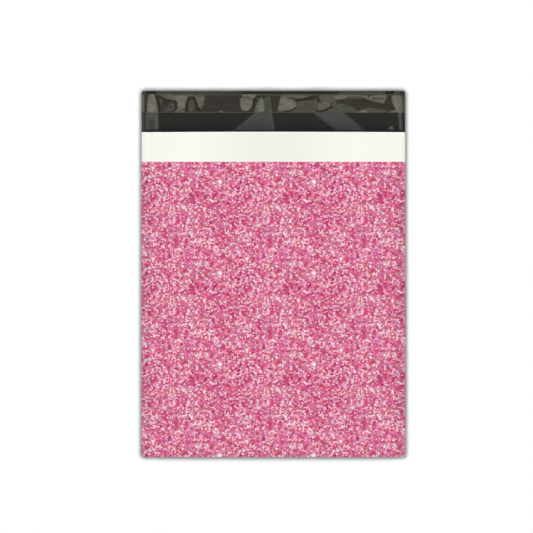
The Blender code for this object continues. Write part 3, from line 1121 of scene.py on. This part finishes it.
def band_places(end_x, start, end, step):
    """Columns and rows of a band, with columns on both weld lines."""
    xs = even(-WELD_X, WELD_X, step)
    if end_x - WELD_X > MERGE:
        xs = joined(even(-end_x, -WELD_X, step), xs, even(WELD_X, end_x, step))
    return xs, even(FREE_EDGE_Y - end, FREE_EDGE_Y - start, step)


def build_band(name, places, height, thickness, finish, node, tones=None):
    """A strip across the inner face of the flap."""
    xs, ys = places
    bm = bmesh.new()
    column_tag, row_tag = grid_sheet(bm, len(xs), len(ys))
    upper_verts = thicken(bm)
    for vert in bm.verts:
        x, y = xs[vert[column_tag]], ys[vert[row_tag]]
        rise = height + (thickness if vert in upper_verts else 0.0)
        vert.co = (x, y, back_height(x, y) + rise)
    if tones:
        ground, patches, strokes = tones
        blended = store_tones(bm, bm.verts, ground, patches, strokes)
        frost_and_sheen_share = np.clip((blended.mean(axis=1) - HELD_TONE) / (FROST_AND_SHEEN[0] - HELD_TONE), 0, 1)
        for vert, share in zip(list(bm.verts), frost_and_sheen_share):
            vert.co.z += ISLAND_LIFT * share
    return finish_piece(name, bm, (finish,), node)


adhesive_height = FILM + LAYER_GAP
liner_height = adhesive_height + ADHESIVE_THICKNESS + LAYER_GAP
build_band(
    "adhesive_bead", band_places(WELD_X, ADHESIVE_START, ADHESIVE_END, ADHESIVE_STEP),
    adhesive_height, ADHESIVE_THICKNESS, gum, "adhesive_strip",
)
# The liner's tone holds its frost and the painted highlights of the pleats.
build_band(
    "peel_off_liner", band_places(HALF_WIDTH - LINER_INSET, LINER_MARGIN, LINER_END, LINER_STEP),
    liner_height, LINER_THICKNESS, liner_film, "release_liner",
    tones=(LINER_DARK, LINER_PATCHES, LINER_STROKES),
)

# %% [markdown]
# The bag lies on a plain pale table that has to look white and still hold a shadow. To the camera
# it is white. To light that bounces it is dark, so that none of it fills the narrow gap under the
# seams. Light from all round can only halve what reaches the table beside an edge, and a thin grey
# line close round the bag is darker than that, so the table also dims within a few millimetres of
# whatever stands over it, which an Ambient Occlusion node measures.

# %% Table
TABLE_HALF = 3.0
TABLE_WHITE = 0.98
TABLE_BOUNCE = 0.12
TABLE_GLOW = 0.03
TABLE_DROP = 0.00005  # keeps the bag's underside off the table's face
CONTACT_REACH = 0.006
CONTACT_OPEN = (0.72, 0.99)  # how open the place is where the dimming is full and where it ends
CONTACT_SHADE = 0.5

bm = bmesh.new()
bmesh.ops.create_grid(bm, x_segments=1, y_segments=1, size=TABLE_HALF)
bmesh.ops.translate(bm, verts=bm.verts[:], vec=Vector((0.0, 0.0, -TABLE_DROP)))
table_mesh = bpy.data.meshes.new("table")
bm.to_mesh(table_mesh)
bm.free()
table = bpy.data.objects.new("table", table_mesh)
bpy.context.scene.collection.objects.link(table)


def grey(level):
    """A grey colour of the given linear level."""
    return (level, level, level, 1.0)


def add_seen(nodes, links):
    """1 for what the camera sees, directly, in a gloss or through a clear surface, 0 for light."""
    path = nodes.new("ShaderNodeLightPath").outputs
    seen = add_math(nodes, links, "MAXIMUM", path["Is Camera Ray"], path["Is Glossy Ray"])
    return add_math(nodes, links, "MAXIMUM", seen, path["Is Transmission Ray"])


table_finish, nodes, links, shader = new_material("pale_table", roughness=0.9, specular=0.1)
shader.inputs["Emission Color"].default_value = grey(1.0)
seen = add_seen(nodes, links)
links.new(add_math(nodes, links, "MULTIPLY", seen, TABLE_GLOW), shader.inputs["Emission Strength"])
openness = nodes.new("ShaderNodeAmbientOcclusion")
openness.inputs["Distance"].default_value = CONTACT_REACH
contact = add_fade(nodes, links, openness.outputs["AO"], *CONTACT_OPEN, CONTACT_SHADE, 1.0)
table_colour = add_mix(nodes, links, seen, grey(TABLE_BOUNCE), grey(TABLE_WHITE))
links.new(add_scale(nodes, links, table_colour, contact), shader.inputs["Base Color"])
table_mesh.materials.append(table_finish)
print("table", table_mesh.materials[0].name)

# %% [markdown]
# The room is white wherever it is seen or mirrored. Its light comes from a ring of bright wall at
# about thirty degrees over the table, which gives a flat thing a short even shadow on all four
# sides.

# %% Room
WALL_LIGHT = 7.0
WALL_TOP = 0.58  # heights on a dome of radius one
WALL_FOOT = 0.38
WALL_SOFTNESS = 0.06

world = bpy.data.worlds.new("white_room")
bpy.context.scene.world = world
world.use_nodes = True
nodes, links = world.node_tree.nodes, world.node_tree.links
background = nodes["Background"]
background.inputs["Color"].default_value = grey(1.0)
direction = nodes.new("ShaderNodeSeparateXYZ")
links.new(nodes.new("ShaderNodeTexCoord").outputs["Generated"], direction.inputs["Vector"])
height = direction.outputs["Z"]
below_top = add_fade(nodes, links, height, WALL_TOP, WALL_TOP - WALL_SOFTNESS, 0.0, WALL_LIGHT)
above_foot = add_fade(nodes, links, height, WALL_FOOT, WALL_FOOT + WALL_SOFTNESS, 0.0, 1.0)
wall = add_math(nodes, links, "MULTIPLY", below_top, above_foot)
seen = add_seen(nodes, links)
unseen = add_math(nodes, links, "SUBTRACT", 1.0, seen)
strength = add_math(nodes, links, "MULTIPLY_ADD", unseen, wall, seen)
links.new(strength, background.inputs["Strength"])
print("wall light", WALL_LIGHT, "from", WALL_FOOT, "to", WALL_TOP)

# %% [markdown]
# Three weak soft boxes add some direction. Together with the wall they light a flat white surface
# at about level one, and the Standard view shows it so, which lets every colour come out as it was
# written.

# %% Lamps
LAMPS = (  # name, place, size, watts
    ("key_light", (-0.25, 1.25, 1.75), 0.9, 2.4),
    ("left_fill", (-1.7, -0.3, 1.5), 1.0, 1.0),
    ("right_fill", (1.7, -0.4, 1.5), 1.0, 1.0),
)


def add_lamp(name, place, size, power):
    """A square soft box that faces the middle of the bag."""
    lamp = bpy.data.lights.new(name, "AREA")
    lamp.shape = "SQUARE"
    lamp.size = size
    lamp.energy = power
    holder = bpy.data.objects.new(name, lamp)
    holder.location = place
    holder.rotation_euler = (-Vector(place)).to_track_quat("-Z", "Y").to_euler()
    bpy.context.scene.collection.objects.link(holder)
    print(name, "at", place, power, "W")


for lamp in LAMPS:
    add_lamp(*lamp)

bpy.context.scene.view_settings.view_transform = "Standard"
